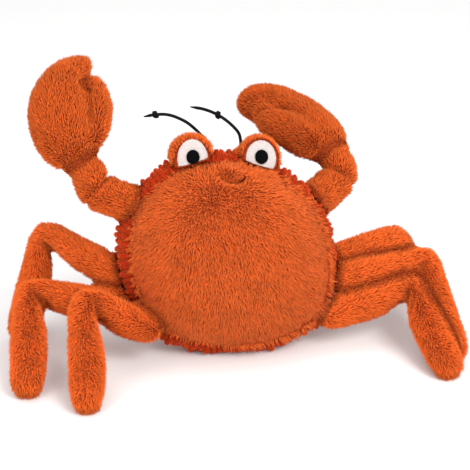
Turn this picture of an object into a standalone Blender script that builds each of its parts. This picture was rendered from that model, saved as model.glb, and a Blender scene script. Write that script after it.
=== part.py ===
"""Stuffed toy crab in long-pile cloth, sitting upright with its claws raised.

The body is a front panel and a back panel of plush, joined by a gathered band that runs
all the way round. It leans back a little and rests on the flattened underside of the band.
Six bent legs, two arms with mitten claws and two eye stalks are sewn to it. Each eye is
a felt oval with a black felt pupil. Two stiff waxed feelers with a knot near the end
come out of the band, and a short stitched smile pulls a crease into the front panel.

Axes: -Y is the front, +X is the right as seen by someone who faces the toy, +Z is up.
Origin: on the floor, below the middle of the body, on the line where the band presses on it.
Units are metres and degrees. Sizes are those of the outer surface of the pile.
"""
import math

import bmesh
import bpy
from mathutils import Matrix, Vector

# Body
BODY_HALF_WIDTH = 0.100
BODY_RISE = 0.096
BODY_DROP = 0.0885
UPPER_ROUNDNESS = 2.05
LOWER_ROUNDNESS = 2.5
FRONT_DEPTH = 0.0685
BACK_DEPTH = 0.058
BODY_LEAN = 18.0
BODY_SKEW = 0.079
SEAT_PRESS = 0.0035
PANEL_SEGMENTS = 48
PANEL_RINGS = 7

# Gathered band
BAND_HALF_WIDTH = 0.021
BAND_PUFF = 0.0010
PLEAT_COUNT = 72
PLEAT_HEIGHT = 0.0015
PLEAT_VALLEY = 0.0024
BAND_ROWS = 4

# Clearance between pieces that are sewn or pressed together
SEAM_GAP = 0.0003
WRIST_GAP = 0.0006

# Eyes; the height is that of the middle of a stalk, from the top of the body's outline
EYE_SPREAD = 0.031
EYE_HEIGHT = -0.0055
EYE_FORWARD = 0.014
STALK_HALF_WIDTH = 0.0195
STALK_HALF_HEIGHT = 0.021
STALK_FRONT_DEPTH = 0.014
STALK_BACK_DEPTH = 0.016
STALK_ROUNDNESS = 2.8
OVAL_SEGMENTS = 20
CUSHION_RINGS = 4
WHITE_HALF_WIDTH = 0.0155
WHITE_HALF_HEIGHT = 0.018
WHITE_CENTRE_DROP = 0.003
FELT_THICKNESS = 0.0015
PUPIL_HALF_WIDTH = 0.006
PUPIL_HALF_HEIGHT = 0.0066
PUPIL_DROP = 0.0012

# Smile: places across and up the front panel, from the middle of the widest line
SMILE_ROUTE = [(-0.0090, 0.0800), (-0.0065, 0.0755), (-0.0015, 0.0722),
               (0.0045, 0.0705), (0.0100, 0.0710), (0.0140, 0.0740)]
SMILE_CREASE_RADIUS = 0.0030
SMILE_THREAD_RADIUS = 0.0007

# Feelers: places across, towards the front and up from the top of the body's outline
FEELER_RADIUS = 0.0011
KNOT_LOOP_RADIUS = 0.0016
KNOT_CORD_RADIUS = 0.0012
KNOT_TILT = 27.0
LEFT_FEELER_ROUTE = [(-0.012, -0.002, -0.0055), (-0.0135, -0.006, 0.0070), (-0.018, -0.009, 0.0158),
                     (-0.029, -0.009, 0.0270), (-0.039, -0.008, 0.0330), (-0.049, -0.008, 0.0365),
                     (-0.060, -0.008, 0.0370), (-0.071, -0.008, 0.0355)]
RIGHT_FEELER_ROUTE = [(0.015, -0.005, -0.0065), (0.017, -0.005, 0.0030), (0.0175, -0.005, 0.0096),
                      (0.016, -0.005, 0.0168), (0.011, -0.005, 0.0233), (0.004, -0.005, 0.0298),
                      (-0.005, -0.005, 0.0358), (-0.016, -0.005, 0.0403), (-0.028, -0.005, 0.0428)]
LEFT_KNOT_SHARE = 0.86
RIGHT_KNOT_SHARE = 0.72

# Legs
LEG_RADIUS = 0.0178
THIGH_LENGTH = 0.088
SHANK_LENGTH = 0.089
FOOT_SWELL = 1.06
FOOT_PRESS = 0.0058
LEG_CAGE_SIDES = 6
# Place of the hip, inwards from the side of the body, back and up; the share of the thigh
# that shows; then the headings of thigh and shank from the front towards the leg's own side,
# and how steeply the shank drops
LEG_POSES = {
    "leg_front_left": ((0.0255, -0.030, 0.035), 0.73, 88.0, 3.0, 34.4),
    "leg_middle_left": ((0.0060, 0.000, 0.045), 1.00, 92.0, 4.0, 32.0),
    "leg_rear_left": ((0.0070, 0.016, 0.065), 1.00, 120.0, 49.0, 66.0),
    "leg_front_right": ((0.0120, -0.017, 0.031), 0.93, 95.0, 11.0, 24.0),
    "leg_middle_right": ((0.0015, 0.004, 0.058), 1.00, 93.0, 8.0, 37.5),
    "leg_rear_right": ((0.0190, 0.031, 0.061), 0.96, 90.0, 140.0, 50.5),
}

# Arms: places outwards from the side of the body, towards the front, and up from its
# widest line
ARM_RADIUS = 0.0185
WRIST_RADIUS = 0.0160
WRIST_OVERLAP = 0.010
ARM_CAGE_SIDES = 6
LEFT_ARM_ROUTE = [(-0.0320, 0.004, 0.0430), (-0.0095, 0.006, 0.0530), (0.0170, 0.008, 0.0665),
                  (0.0290, 0.008, 0.0905)]
RIGHT_ARM_ROUTE = [(-0.0300, -0.010, 0.0380), (-0.0070, -0.014, 0.0500), (0.0120, -0.018, 0.0680),
                   (0.0115, -0.020, 0.0900)]

# Claws, in a flat frame: across towards the thumb, along towards the tip
FINGER_STATIONS = [(0.000, -0.003, 0.0165, 0.0155), (-0.010, 0.013, 0.0290, 0.0225),
                   (-0.018, 0.036, 0.0320, 0.0255), (-0.019, 0.058, 0.0290, 0.0245),
                   (-0.012, 0.078, 0.0215, 0.0215), (0.003, 0.0885, 0.0130, 0.0170),
                   (0.015, 0.0890, 0.0080, 0.0110)]
THUMB_STATIONS = [(0.005, 0.010, 0.0105, 0.0125), (0.0135, 0.026, 0.0130, 0.0165),
                  (0.0165, 0.044, 0.0135, 0.0170), (0.0160, 0.060, 0.0120, 0.0155),
                  (0.0130, 0.073, 0.0090, 0.0120), (0.0095, 0.080, 0.0050, 0.0075)]
FINGER_CAGE_SIDES = 8
THUMB_CAGE_SIDES = 6
RIGHT_CLAW_TILT = 55.5
RIGHT_CLAW_ROLL = 60.0
RIGHT_CLAW_BACK = 12.0
RIGHT_CLAW_STRETCH = 1.13

# Colours: base colour, roughness
MATERIALS = {
    "orange_plush": ((0.86, 0.16, 0.030, 1.0), 0.95),
    "red_orange_plush": ((0.78, 0.085, 0.022, 1.0), 0.95),
    "white_felt": ((0.78, 0.73, 0.72, 1.0), 0.95),
    "black_felt": ((0.010, 0.010, 0.011, 1.0), 0.90),
    "black_waxed_cord": ((0.012, 0.011, 0.011, 1.0), 0.45),
    "dark_thread": ((0.10, 0.012, 0.006, 1.0), 0.80),
}


def clear_scene():
    """Remove every object of the open scene."""
    for item in list(bpy.data.objects):
        bpy.data.objects.remove(item, do_unlink=True)


def new_collection(name):
    """Add a collection to the scene."""
    collection = bpy.data.collections.new(name)
    bpy.context.scene.collection.children.link(collection)
    return collection


def plain_material(name, suffix):
    """Make one principled material for one piece, from the colour table."""
    colour, roughness = MATERIALS[name]
    material = bpy.data.materials.new(name + "_" + suffix)
    material.use_nodes = True
    shader = material.node_tree.nodes["Principled BSDF"]
    shader.inputs["Base Color"].default_value = colour
    shader.inputs["Roughness"].default_value = roughness
    shader.inputs["Metallic"].default_value = 0.0
    material.diffuse_color = colour
    return material


def mesh_object(name, bm, collection, parent=None, is_cage=False):
    """Turn a bmesh into a smooth-shaded object; only a cage keeps its four-sided faces."""
    bmesh.ops.recalc_face_normals(bm, faces=bm.faces)
    if not is_cage:
        bmesh.ops.triangulate(bm, faces=bm.faces)
    mesh = bpy.data.meshes.new(name)
    bm.to_mesh(mesh)
    bm.free()
    mesh.shade_smooth()
    item = bpy.data.objects.new(name, mesh)
    collection.objects.link(item)
    item.parent = parent
    return item


def as_cutter(item):
    """Mark an object as a cutter."""
    item.hide_render = True
    item.display_type = "WIRE"
    return item


def cut(item, cutter, operation="DIFFERENCE"):
    """Add a Boolean modifier to an object."""
    modifier = item.modifiers.new(cutter.name, "BOOLEAN")
    modifier.operation = operation
    modifier.solver = "EXACT"
    modifier.object = cutter


def skin_rings(rings, first_pole=None, last_pole=None):
    """Join rings of equal count into a closed skin, with a pole or a flat cap at each end."""
    bm = bmesh.new()
    loops = [[bm.verts.new(point) for point in ring] for ring in rings]
    count = len(loops[0])
    for lower, upper in zip(loops, loops[1:]):
        for k in range(count):
            after = (k + 1) % count
            bm.faces.new((lower[k], lower[after], upper[after], upper[k]))
    for loop, pole in ((loops[0], first_pole), (loops[-1], last_pole)):
        if pole is None:
            bm.faces.new(loop)
            continue
        centre = bm.verts.new(pole)
        for k in range(count):
            bm.faces.new((loop[k], loop[(k + 1) % count], centre))
    return bm


def smooth_route(points, steps):
    """Points along a smooth curve through the given points."""
    route = [Vector(point) for point in points]
    route = [2 * route[0] - route[1]] + route + [2 * route[-1] - route[-2]]
    result = []
    for k in range(1, len(route) - 2):
        before, start, end, after = route[k - 1:k + 3]
        for step in range(steps):
            t = step / steps
            result.append(0.5 * (2 * start + (end - before) * t
                                 + (2 * before - 5 * start + 4 * end - after) * t ** 2
                                 + (3 * start - before - 3 * end + after) * t ** 3))
    result.append(route[-2])
    return result


# Body outline

def outline_point(turn):
    """A point of the body's outline across and up from the widest line; turn runs 0 to 1."""
    angle = 2 * math.pi * turn
    height = BODY_RISE if math.sin(angle) >= 0 else BODY_DROP
    power = 2 / (UPPER_ROUNDNESS if math.sin(angle) >= 0 else LOWER_ROUNDNESS)
    across = math.copysign(abs(math.cos(angle)) ** power, math.cos(angle))
    up = math.copysign(abs(math.sin(angle)) ** power, math.sin(angle))
    return Vector((BODY_HALF_WIDTH * across - BODY_SKEW * height * up, height * up))


def even_outline(fractions):
    """Outline points and outward directions at even shares of the way round."""
    fine = 1440
    points = [outline_point(k / fine) for k in range(fine + 1)]
    lengths = [0.0]
    for start, end in zip(points, points[1:]):
        lengths.append(lengths[-1] + (end - start).length)
    result = []
    k = 0
    for share in fractions:
        wanted = share * lengths[-1]
        while lengths[k + 1] < wanted:
            k += 1
        start, end = points[k], points[k + 1]
        along = (end - start).normalized()
        place = start.lerp(end, (wanted - lengths[k]) / (lengths[k + 1] - lengths[k]))
        result.append((place, Vector((along.y, -along.x))))
    return result


def body_share(depth):
    """How much of the full outline the body has at a depth in front of its middle."""
    reach = FRONT_DEPTH if depth >= 0 else BACK_DEPTH
    return math.sqrt(max(0.0, 1 - (depth / reach) ** 2))


def body_place(across, depth, up):
    """A place in the body's frame: across, towards the front, up from the lowest edge."""
    return Vector((across, -depth, up))


def body_ring(outline, depth, swell):
    """A ring of the body's skin; swell gives the extra width at each of its points."""
    share = body_share(depth)
    ring = []
    for k, (place, outward) in enumerate(outline):
        spot = share * place + swell(k) * outward
        ring.append(body_place(spot.x, depth, BODY_DROP + spot.y))
    return ring


def panel_depths(reach):
    """Depths of a panel's rings, from its seam to just short of its middle."""
    first = math.asin((BAND_HALF_WIDTH + SEAM_GAP) / reach)
    return [reach * math.sin(first + (math.pi / 2 - first) * k / PANEL_RINGS)
            for k in range(PANEL_RINGS)]


def body_panel(name, reach, side, collection, frame):
    """One domed panel; side is 1 for the front and -1 for the back."""
    outline = even_outline([k / PANEL_SEGMENTS for k in range(PANEL_SEGMENTS)])
    rings = [body_ring(outline, side * depth, lambda k: 0.0) for depth in panel_depths(reach)]
    bm = skin_rings(rings, last_pole=body_place(0, side * reach, BODY_DROP))
    return mesh_object(name, bm, collection, frame)


def band_puff(depth):
    """How far the band puffs out past the outline at a depth."""
    return BAND_PUFF * (1 - (depth / BAND_HALF_WIDTH) ** 2)


def pleat_swell(column):
    """Radial place of one column of the gathers: a valley, then the two sides of a crest."""
    pleat, part = divmod(column, 3)
    if part == 0:
        return -PLEAT_VALLEY * (0.85 + 0.15 * math.sin(2.7 * pleat))
    return PLEAT_HEIGHT * (0.85 + 0.15 * math.sin(1.9 * pleat + part))


def gathered_band(name, clearance, collection, frame):
    """The band with its gathers, grown outwards by a clearance, between two flat sides."""
    valley_share = 0.30
    fractions = []
    for pleat in range(PLEAT_COUNT):
        fractions += [pleat / PLEAT_COUNT, (pleat + valley_share) / PLEAT_COUNT,
                      (pleat + 1 - valley_share) / PLEAT_COUNT]
    outline = even_outline(fractions)
    rings = []
    for row in range(BAND_ROWS + 1):
        depth = BAND_HALF_WIDTH * (2 * row / BAND_ROWS - 1)
        pinch = 0.45 if row in (0, BAND_ROWS) else 1.0
        rings.append(body_ring(outline, depth,
                               lambda k: band_puff(depth) + pinch * pleat_swell(k) + clearance))
    return mesh_object(name, skin_rings(rings), collection, frame)


def body_envelope(name, clearance, collection, frame):
    """The whole body as one closed form a clearance larger, to seat the other pieces on."""
    segments = 2 * PANEL_SEGMENTS
    outline = even_outline([k / segments for k in range(segments)])
    back = [-depth for depth in panel_depths(BACK_DEPTH)]
    front = panel_depths(FRONT_DEPTH)
    rings = [body_ring(outline, depth, lambda k: clearance) for depth in reversed(back)]
    for row in range(BAND_ROWS + 1):
        depth = BAND_HALF_WIDTH * (2 * row / BAND_ROWS - 1)
        rings.append(body_ring(outline, depth,
                               lambda k: band_puff(depth) + PLEAT_HEIGHT + clearance))
    rings += [body_ring(outline, depth, lambda k: clearance) for depth in front]
    bm = skin_rings(rings, first_pole=body_place(0, -BACK_DEPTH - clearance, BODY_DROP),
                    last_pole=body_place(0, FRONT_DEPTH + clearance, BODY_DROP))
    return as_cutter(mesh_object(name, bm, collection, frame))


def place_body_frame(frame):
    """Lean the body back, and press its lowest line a little into the floor at the origin."""
    lean = Matrix.Rotation(math.radians(-BODY_LEAN), 4, "X")
    lowest = None
    for step in range(81):
        depth = BAND_HALF_WIDTH * (step / 40 - 1)
        up = BODY_DROP - body_share(depth) * BODY_DROP - band_puff(depth)
        spot = lean @ body_place(0, depth, up)
        if lowest is None or spot.z < lowest.z:
            lowest = spot
    frame.location = (0, -lowest.y, -lowest.z - SEAT_PRESS)
    frame.rotation_euler = (math.radians(-BODY_LEAN), 0, 0)


def panel_depth_at(across, up):
    """Depth of the front panel's surface at a place across and up from the widest line."""
    height, power = (BODY_RISE, UPPER_ROUNDNESS) if up >= 0 else (BODY_DROP, LOWER_ROUNDNESS)
    straight = across + BODY_SKEW * up
    reach = (abs(straight / BODY_HALF_WIDTH) ** power + abs(up / height) ** power) ** (1 / power)
    return FRONT_DEPTH * math.sqrt(max(0.0, 1 - reach ** 2))


# Eyes

def cushion(name, centre, growth, collection, frame):
    """A plump oval cushion that stands upright, grown outwards by a clearance."""
    rings = []
    count = OVAL_SEGMENTS
    steps = CUSHION_RINGS
    for k in range(-steps, steps + 1):
        if abs(k) == steps:
            continue
        lift = k / steps
        angle = lift * math.pi / 2
        share = abs(math.cos(angle)) ** (2 / STALK_ROUNDNESS)
        deep = math.copysign(abs(math.sin(angle)) ** (2 / STALK_ROUNDNESS), lift)
        deep *= (STALK_FRONT_DEPTH if lift > 0 else STALK_BACK_DEPTH) + growth
        ring = []
        for turn in range(count):
            around = 2 * math.pi * turn / count
            ring.append(centre + body_place((STALK_HALF_WIDTH + growth) * share * math.cos(around),
                                            deep,
                                            (STALK_HALF_HEIGHT + growth) * share * math.sin(around)))
        rings.append(ring)
    bm = skin_rings(rings, first_pole=centre + body_place(0, -STALK_BACK_DEPTH - growth, 0),
                    last_pole=centre + body_place(0, STALK_FRONT_DEPTH + growth, 0))
    return mesh_object(name, bm, collection, frame)


def oval_prism(name, centre, half_width, half_height, collection, frame):
    """An upright oval prism that runs from the middle of a stalk out past its front."""
    bm = bmesh.new()
    length = 2 * STALK_FRONT_DEPTH
    bmesh.ops.create_cone(bm, cap_ends=True, segments=OVAL_SEGMENTS, radius1=1, radius2=1,
                          depth=length)
    turn = Matrix.Rotation(math.radians(90), 4, "X")
    size = Matrix.Diagonal((half_width, 1, half_height, 1))
    bm.transform(Matrix.Translation(centre + body_place(0, length / 2, 0)) @ size @ turn)
    return as_cutter(mesh_object(name, bm, collection, frame))


def felt_patch(name, centre, sizes, inner, outer, collections, frame, seat):
    """A felt oval that follows the front of a stalk between two clearances from it."""
    parts, cutters = collections
    patch = cushion(name, centre, outer, parts, frame)
    drop, half_width, half_height = sizes
    prism = oval_prism(name + "_edge", centre - body_place(0, 0, drop), half_width, half_height,
                       cutters, frame)
    under = as_cutter(cushion(name + "_back", centre, inner, cutters, frame))
    cut(patch, prism, "INTERSECT")
    cut(patch, under)
    cut(patch, seat)
    return patch


def build_eye(side, sign, collections, frame, seat):
    """A stalk with its felt white and pupil."""
    centre = body_place(sign * EYE_SPREAD, EYE_FORWARD, BODY_DROP + BODY_RISE + EYE_HEIGHT)
    stalk = cushion("eye_stalk_" + side, centre, 0.0, collections[0], frame)
    cut(stalk, seat)
    white_back = SEAM_GAP
    white_front = white_back + FELT_THICKNESS
    pupil_back = white_front + SEAM_GAP
    white = felt_patch("eye_white_" + side, centre,
                       (WHITE_CENTRE_DROP, WHITE_HALF_WIDTH, WHITE_HALF_HEIGHT),
                       white_back, white_front, collections, frame, seat)
    pupil = felt_patch("pupil_" + side, centre,
                       (PUPIL_DROP, PUPIL_HALF_WIDTH, PUPIL_HALF_HEIGHT),
                       pupil_back, pupil_back + FELT_THICKNESS, collections, frame, seat)
    return [(stalk, "orange_plush"), (white, "white_felt"), (pupil, "black_felt")]


# Threads and feelers

def round_cord(name, points, radius, collection, frame):
    """A round cord along a list of points, as a closed mesh."""
    curve = bpy.data.curves.new(name, "CURVE")
    curve.dimensions = "3D"
    curve.bevel_depth = radius
    curve.bevel_resolution = 2
    curve.use_fill_caps = True
    spline = curve.splines.new("POLY")
    spline.points.add(len(points) - 1)
    for point, place in zip(spline.points, points):
        point.co = (place.x, place.y, place.z, 1)
    guide = bpy.data.objects.new(name + "_guide", curve)
    collection.objects.link(guide)
    bpy.context.view_layer.update()
    evaluated = guide.evaluated_get(bpy.context.evaluated_depsgraph_get())
    mesh = bpy.data.meshes.new_from_object(evaluated)
    bm = bmesh.new()
    bm.from_mesh(mesh)
    bmesh.ops.remove_doubles(bm, verts=bm.verts, dist=0.00001)
    bpy.data.objects.remove(guide)
    bpy.data.meshes.remove(mesh)
    return mesh_object(name, bm, collection, frame)


def knot_loop(name, centre, axis, collection, frame):
    """The loop of a knot that is pulled tight round its cord, tilted off square to it."""
    square = axis.to_track_quat("Z", "Y").to_matrix().to_4x4()
    bpy.ops.mesh.primitive_torus_add(major_radius=KNOT_LOOP_RADIUS,
                                     minor_radius=KNOT_CORD_RADIUS,
                                     major_segments=12, minor_segments=6)
    ring = bpy.context.object
    ring.name = name
    for holder in list(ring.users_collection):
        holder.objects.unlink(ring)
    collection.objects.link(ring)
    ring.data.transform(Matrix.Translation(centre) @ square
                        @ Matrix.Rotation(math.radians(KNOT_TILT), 4, "X"))
    ring.parent = frame
    return as_cutter(ring)


def build_feeler(side, route, knot_share, collections, frame, seat):
    """A stiff feeler with a knot tied in it near its end."""
    parts, cutters = collections
    top = body_place(0, 0, BODY_DROP + BODY_RISE)
    points = smooth_route([top + body_place(*spot) for spot in route], 2)
    name = "feeler_" + side
    feeler = round_cord(name, points, FEELER_RADIUS, parts, frame)
    spot = knot_share * (len(points) - 1)
    first = int(spot)
    centre = points[first].lerp(points[first + 1], spot - first)
    axis = (points[first + 1] - points[first]).normalized()
    cut(feeler, knot_loop(name + "_knot", centre, axis, cutters, frame), "UNION")
    cut(feeler, seat)
    return [(feeler, "black_waxed_cord")]


def build_smile(panel, collections, frame):
    """Sink the smile's crease into the front panel and lay its thread in the bottom."""
    parts, cutters = collections
    surface = [body_place(across, panel_depth_at(across, up), BODY_DROP + up)
               for across, up in SMILE_ROUTE]
    crease = as_cutter(round_cord("smile_crease", smooth_route(surface, 2), SMILE_CREASE_RADIUS,
                                  cutters, frame))
    cut(panel, crease)
    sunk = SMILE_CREASE_RADIUS - SMILE_THREAD_RADIUS - 2 * SEAM_GAP
    middle = body_place(0, 0, BODY_DROP)
    bottom = [place + sunk * (middle - place).normalized() for place in surface]
    thread = round_cord("smile_stitch", smooth_route(bottom, 2), SMILE_THREAD_RADIUS, parts,
                        frame)
    return [(thread, "dark_thread")]


# Limbs

def cage_swell(sides):
    """How much larger a cage of so many sides is than the smooth tube it gives."""
    return 3 / (2 + math.cos(2 * math.pi / sides))


def tube_cage(name, stations, growth, flat_normal, sides, collection, frame=None):
    """A smooth tube through stations of centre, half width and half thickness.

    The route bends in the plane that flat_normal stands on, and the thickness is along
    flat_normal. The tube is grown outwards, and at both ends, by the growth.
    """
    swell = cage_swell(sides)
    centres = [Vector(station[0]) for station in stations]
    thick_axis = Vector(flat_normal).normalized()
    last = len(stations) - 1
    rings = []
    for k, (_, half_width, half_thickness) in enumerate(stations):
        along = (centres[min(k + 1, last)] - centres[max(k - 1, 0)]).normalized()
        width_axis = thick_axis.cross(along).normalized()
        end_shift = {0: -growth, last: growth}.get(k, 0.0)
        ring = []
        for turn in range(sides):
            angle = 2 * math.pi * turn / sides
            across = swell * (half_width + growth) * math.cos(angle) * width_axis
            through = swell * (half_thickness + growth) * math.sin(angle) * thick_axis
            ring.append(centres[k] + end_shift * along + across + through)
        rings.append(ring)
    item = mesh_object(name, skin_rings(rings), collection, frame, is_cage=True)
    smooth = item.modifiers.new("smooth", "SUBSURF")
    smooth.levels = 1
    smooth.render_levels = 1
    item.modifiers.new("flat_facets", "TRIANGULATE")
    return item


def direction(heading, rise, sign):
    """A direction from its heading, measured from the front to one side, and its rise."""
    flat = math.cos(math.radians(rise))
    return Vector((sign * flat * math.sin(math.radians(heading)),
                   -flat * math.cos(math.radians(heading)), math.sin(math.radians(rise))))


def leg_joints(pose, sign):
    """Hip, knee and foot centre of a leg whose foot is pressed on the floor."""
    (inwards, back, up), thigh_share, thigh_heading, shank_heading, shank_drop = pose
    thigh_length = thigh_share * THIGH_LENGTH
    hip = Vector((sign * (BODY_HALF_WIDTH - inwards), back, up))
    foot_height = LEG_RADIUS * FOOT_SWELL - FOOT_PRESS
    knee_height = foot_height + SHANK_LENGTH * math.sin(math.radians(shank_drop))
    thigh_rise = math.degrees(math.asin((knee_height - up) / thigh_length))
    knee = hip + thigh_length * direction(thigh_heading, thigh_rise, sign)
    foot = knee + SHANK_LENGTH * direction(shank_heading, -shank_drop, sign)
    return hip, knee, foot


def leg_cage(name, pose, sign, growth, collection):
    """A leg that bends at the knee, grown outwards by a clearance."""
    hip, knee, foot = leg_joints(pose, sign)
    thigh = (knee - hip).normalized()
    shank = (foot - knee).normalized()
    foot_radius = LEG_RADIUS * FOOT_SWELL
    half_bend = thigh.angle(shank) / 2
    crease = 1.06 * cage_swell(LEG_CAGE_SIDES) * (LEG_RADIUS + growth) * math.tan(half_bend)
    knee_push = 0.40 * LEG_RADIUS * math.tan(half_bend)
    stations = [(hip - 0.6 * LEG_RADIUS * thigh, 0.70 * LEG_RADIUS),
                (hip + 0.5 * LEG_RADIUS * thigh, LEG_RADIUS),
                (knee - crease * thigh, LEG_RADIUS),
                (knee + knee_push * (thigh - shank), 1.08 * LEG_RADIUS),
                (knee + crease * shank, LEG_RADIUS),
                (foot, foot_radius),
                (foot + 0.75 * foot_radius * shank, 0.62 * foot_radius)]
    return tube_cage(name, [(place, size, size) for place, size in stations], growth,
                     thigh.cross(shank), LEG_CAGE_SIDES, collection)


def build_legs(collections, seat, floor):
    """Six legs, each pressed against the body, the floor and the leg before it."""
    parts, cutters = collections
    legs = []
    grown = {"left": [], "right": []}
    for name, pose in LEG_POSES.items():
        side = name.rsplit("_", 1)[1]
        sign = 1 if side == "right" else -1
        leg = leg_cage(name, pose, sign, 0.0, parts)
        cut(leg, seat)
        for neighbour in grown[side]:
            cut(leg, neighbour)
        cut(leg, floor)
        room = leg_cage(name + "_room", pose, sign, SEAM_GAP, cutters)
        grown[side].append(as_cutter(room))
        legs.append((leg, "orange_plush"))
    return legs


def claw_frame(side, wrist):
    """Matrix from the claw's flat frame (towards the thumb, along, thick) to the body's."""
    if side == "left":
        thumb = Vector((1, 0, 0))
        along = Vector((0, 0, 1))
    else:
        tilt = math.radians(RIGHT_CLAW_TILT)
        roll = math.radians(RIGHT_CLAW_ROLL)
        back = math.radians(RIGHT_CLAW_BACK)
        along = RIGHT_CLAW_STRETCH * Vector((-math.sin(tilt) * math.cos(back), math.sin(back),
                                             math.cos(tilt) * math.cos(back)))
        below = Vector((-math.cos(tilt), 0, -math.sin(tilt)))
        forward = along.cross(below).normalized()
        if forward.y > 0:
            forward = -forward
        thumb = math.cos(roll) * below + math.sin(roll) * forward
    thick = thumb.cross(along).normalized()
    matrix = Matrix((thumb, along, thick)).transposed().to_4x4()
    matrix.translation = wrist
    return matrix


def claw_lobe(name, stations, sides, frame_matrix, growth, collection, frame):
    """One lobe of a claw through stations of across, along, half width, half thickness."""
    places = []
    for across, along, half_width, half_thickness in stations:
        places.append((frame_matrix @ Vector((across, along, 0)), half_width, half_thickness))
    thick = frame_matrix.to_3x3() @ Vector((0, 0, 1))
    return tube_cage(name, places, growth, thick, sides, collection, frame)


def build_arm(side, sign, route, collections, frame, seat):
    """An arm that comes out of the band and ends in a seam round the base of its claw."""
    parts, cutters = collections
    shoulder, upper, elbow, wrist = [
        body_place(sign * (BODY_HALF_WIDTH + outward), depth, BODY_DROP + up)
        for outward, depth, up in route]
    bend_normal = (elbow - upper).cross(wrist - elbow)
    inside_claw = wrist + WRIST_OVERLAP * (wrist - elbow).normalized()
    stations = [(shoulder, 1.12 * ARM_RADIUS), (upper, 1.14 * ARM_RADIUS),
                (upper.lerp(elbow, 0.6), ARM_RADIUS), (elbow, 1.08 * ARM_RADIUS),
                (elbow.lerp(wrist, 0.55), ARM_RADIUS), (wrist, WRIST_RADIUS),
                (inside_claw, 0.8 * WRIST_RADIUS)]
    arm = tube_cage("arm_" + side, [(place, size, size) for place, size in stations], 0.0,
                    bend_normal, ARM_CAGE_SIDES, parts, frame)
    matrix = claw_frame(side, wrist)
    for growth, finger_name, thumb_name, home in (
            (0.0, "claw_" + side, "thumb_" + side, parts),
            (WRIST_GAP, "claw_room_" + side, "thumb_room_" + side, cutters)):
        claw = claw_lobe(finger_name, FINGER_STATIONS, FINGER_CAGE_SIDES, matrix, growth,
                         home, frame)
        thumb = claw_lobe(thumb_name, THUMB_STATIONS, THUMB_CAGE_SIDES, matrix, growth,
                          cutters, frame)
        cut(claw, as_cutter(thumb), "UNION")
        if home is parts:
            finished = claw
    cut(arm, as_cutter(claw))
    cut(arm, seat)
    cut(finished, seat)
    return [(arm, "orange_plush"), (finished, "orange_plush")]


def floor_block(collection):
    """A block whose top is the floor, to flatten what presses on it."""
    bpy.ops.mesh.primitive_cube_add(size=1, location=(0, 0, -0.5))
    block = bpy.context.object
    block.name = "floor_block"
    for holder in list(block.users_collection):
        holder.objects.unlink(block)
    collection.objects.link(block)
    return as_cutter(block)


def build_crab():
    """Build every piece of the toy."""
    clear_scene()
    parts = new_collection("plush_crab")
    cutters = new_collection("plush_crab_cutters")
    collections = (parts, cutters)
    frame = bpy.data.objects.new("body_frame", None)
    parts.objects.link(frame)
    place_body_frame(frame)
    floor = floor_block(cutters)
    seat = body_envelope("body_room", SEAM_GAP, cutters, frame)

    front = body_panel("body_front", FRONT_DEPTH, 1, parts, frame)
    back = body_panel("body_back", BACK_DEPTH, -1, parts, frame)
    band = gathered_band("gathered_band", 0.0, parts, frame)
    band_room = as_cutter(gathered_band("band_room", SEAM_GAP, cutters, frame))
    pieces = build_smile(front, collections, frame)
    for item in (front, band, back):
        cut(item, floor)
    pieces += [(front, "orange_plush"), (back, "orange_plush"), (band, "red_orange_plush")]
    for side, sign in (("left", -1), ("right", 1)):
        pieces += build_eye(side, sign, collections, frame, seat)
    for side, route, knot_share in (("left", LEFT_FEELER_ROUTE, LEFT_KNOT_SHARE),
                                    ("right", RIGHT_FEELER_ROUTE, RIGHT_KNOT_SHARE)):
        pieces += build_feeler(side, route, knot_share, collections, frame, band_room)
    for side, sign, route in (("left", -1, LEFT_ARM_ROUTE), ("right", 1, RIGHT_ARM_ROUTE)):
        pieces += build_arm(side, sign, route, collections, frame, seat)
    pieces += build_legs(collections, seat, floor)
    for item, material in pieces:
        item.data.materials.append(plain_material(material, item.name))


build_crab()
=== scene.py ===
# %% [markdown]
# # A long-pile plush crab
# The toy sits upright with both claws raised. Its body is a front and a back panel of long-pile
# plush, joined by a band of redder plush that is gathered into small pleats. Six bent legs, two
# arms with mitten claws and two eye stalks are sewn on, the eyes are felt, and two waxed
# feelers stand up out of the band.
#
# The solid model is loaded first and is never changed. Every soft piece below starts from its
# solid, gets a backing cloth a little inside it, and then a pile that grows back out to it.

import math

import bmesh
import bpy
import numpy as np
from mathutils import Matrix, Vector, noise
from mathutils.bvhtree import BVHTree


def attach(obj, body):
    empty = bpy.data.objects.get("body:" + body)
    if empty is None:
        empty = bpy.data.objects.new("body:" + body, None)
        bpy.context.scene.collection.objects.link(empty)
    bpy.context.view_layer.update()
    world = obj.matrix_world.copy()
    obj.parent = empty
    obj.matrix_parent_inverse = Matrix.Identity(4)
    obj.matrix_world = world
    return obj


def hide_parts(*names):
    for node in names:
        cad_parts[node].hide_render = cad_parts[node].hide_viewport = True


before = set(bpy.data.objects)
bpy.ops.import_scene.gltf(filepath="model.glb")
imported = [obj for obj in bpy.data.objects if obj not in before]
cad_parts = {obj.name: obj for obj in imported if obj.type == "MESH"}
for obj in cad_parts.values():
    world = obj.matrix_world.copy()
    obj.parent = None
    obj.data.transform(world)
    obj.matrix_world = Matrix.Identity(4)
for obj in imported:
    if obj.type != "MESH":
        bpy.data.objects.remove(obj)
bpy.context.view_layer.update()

# %% [markdown]
# ## Camera
# The photograph looks down on the toy by about 22 degrees and from a little to its left. The
# lens follows from the distance and from how many pixels of the frame one metre takes there.

# %% Place the camera
camera_azimuth = math.radians(-8)
camera_elevation = math.radians(22)
camera_distance = 1.1
pixels_per_metre = 1080
frame_pixels = 470

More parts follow.
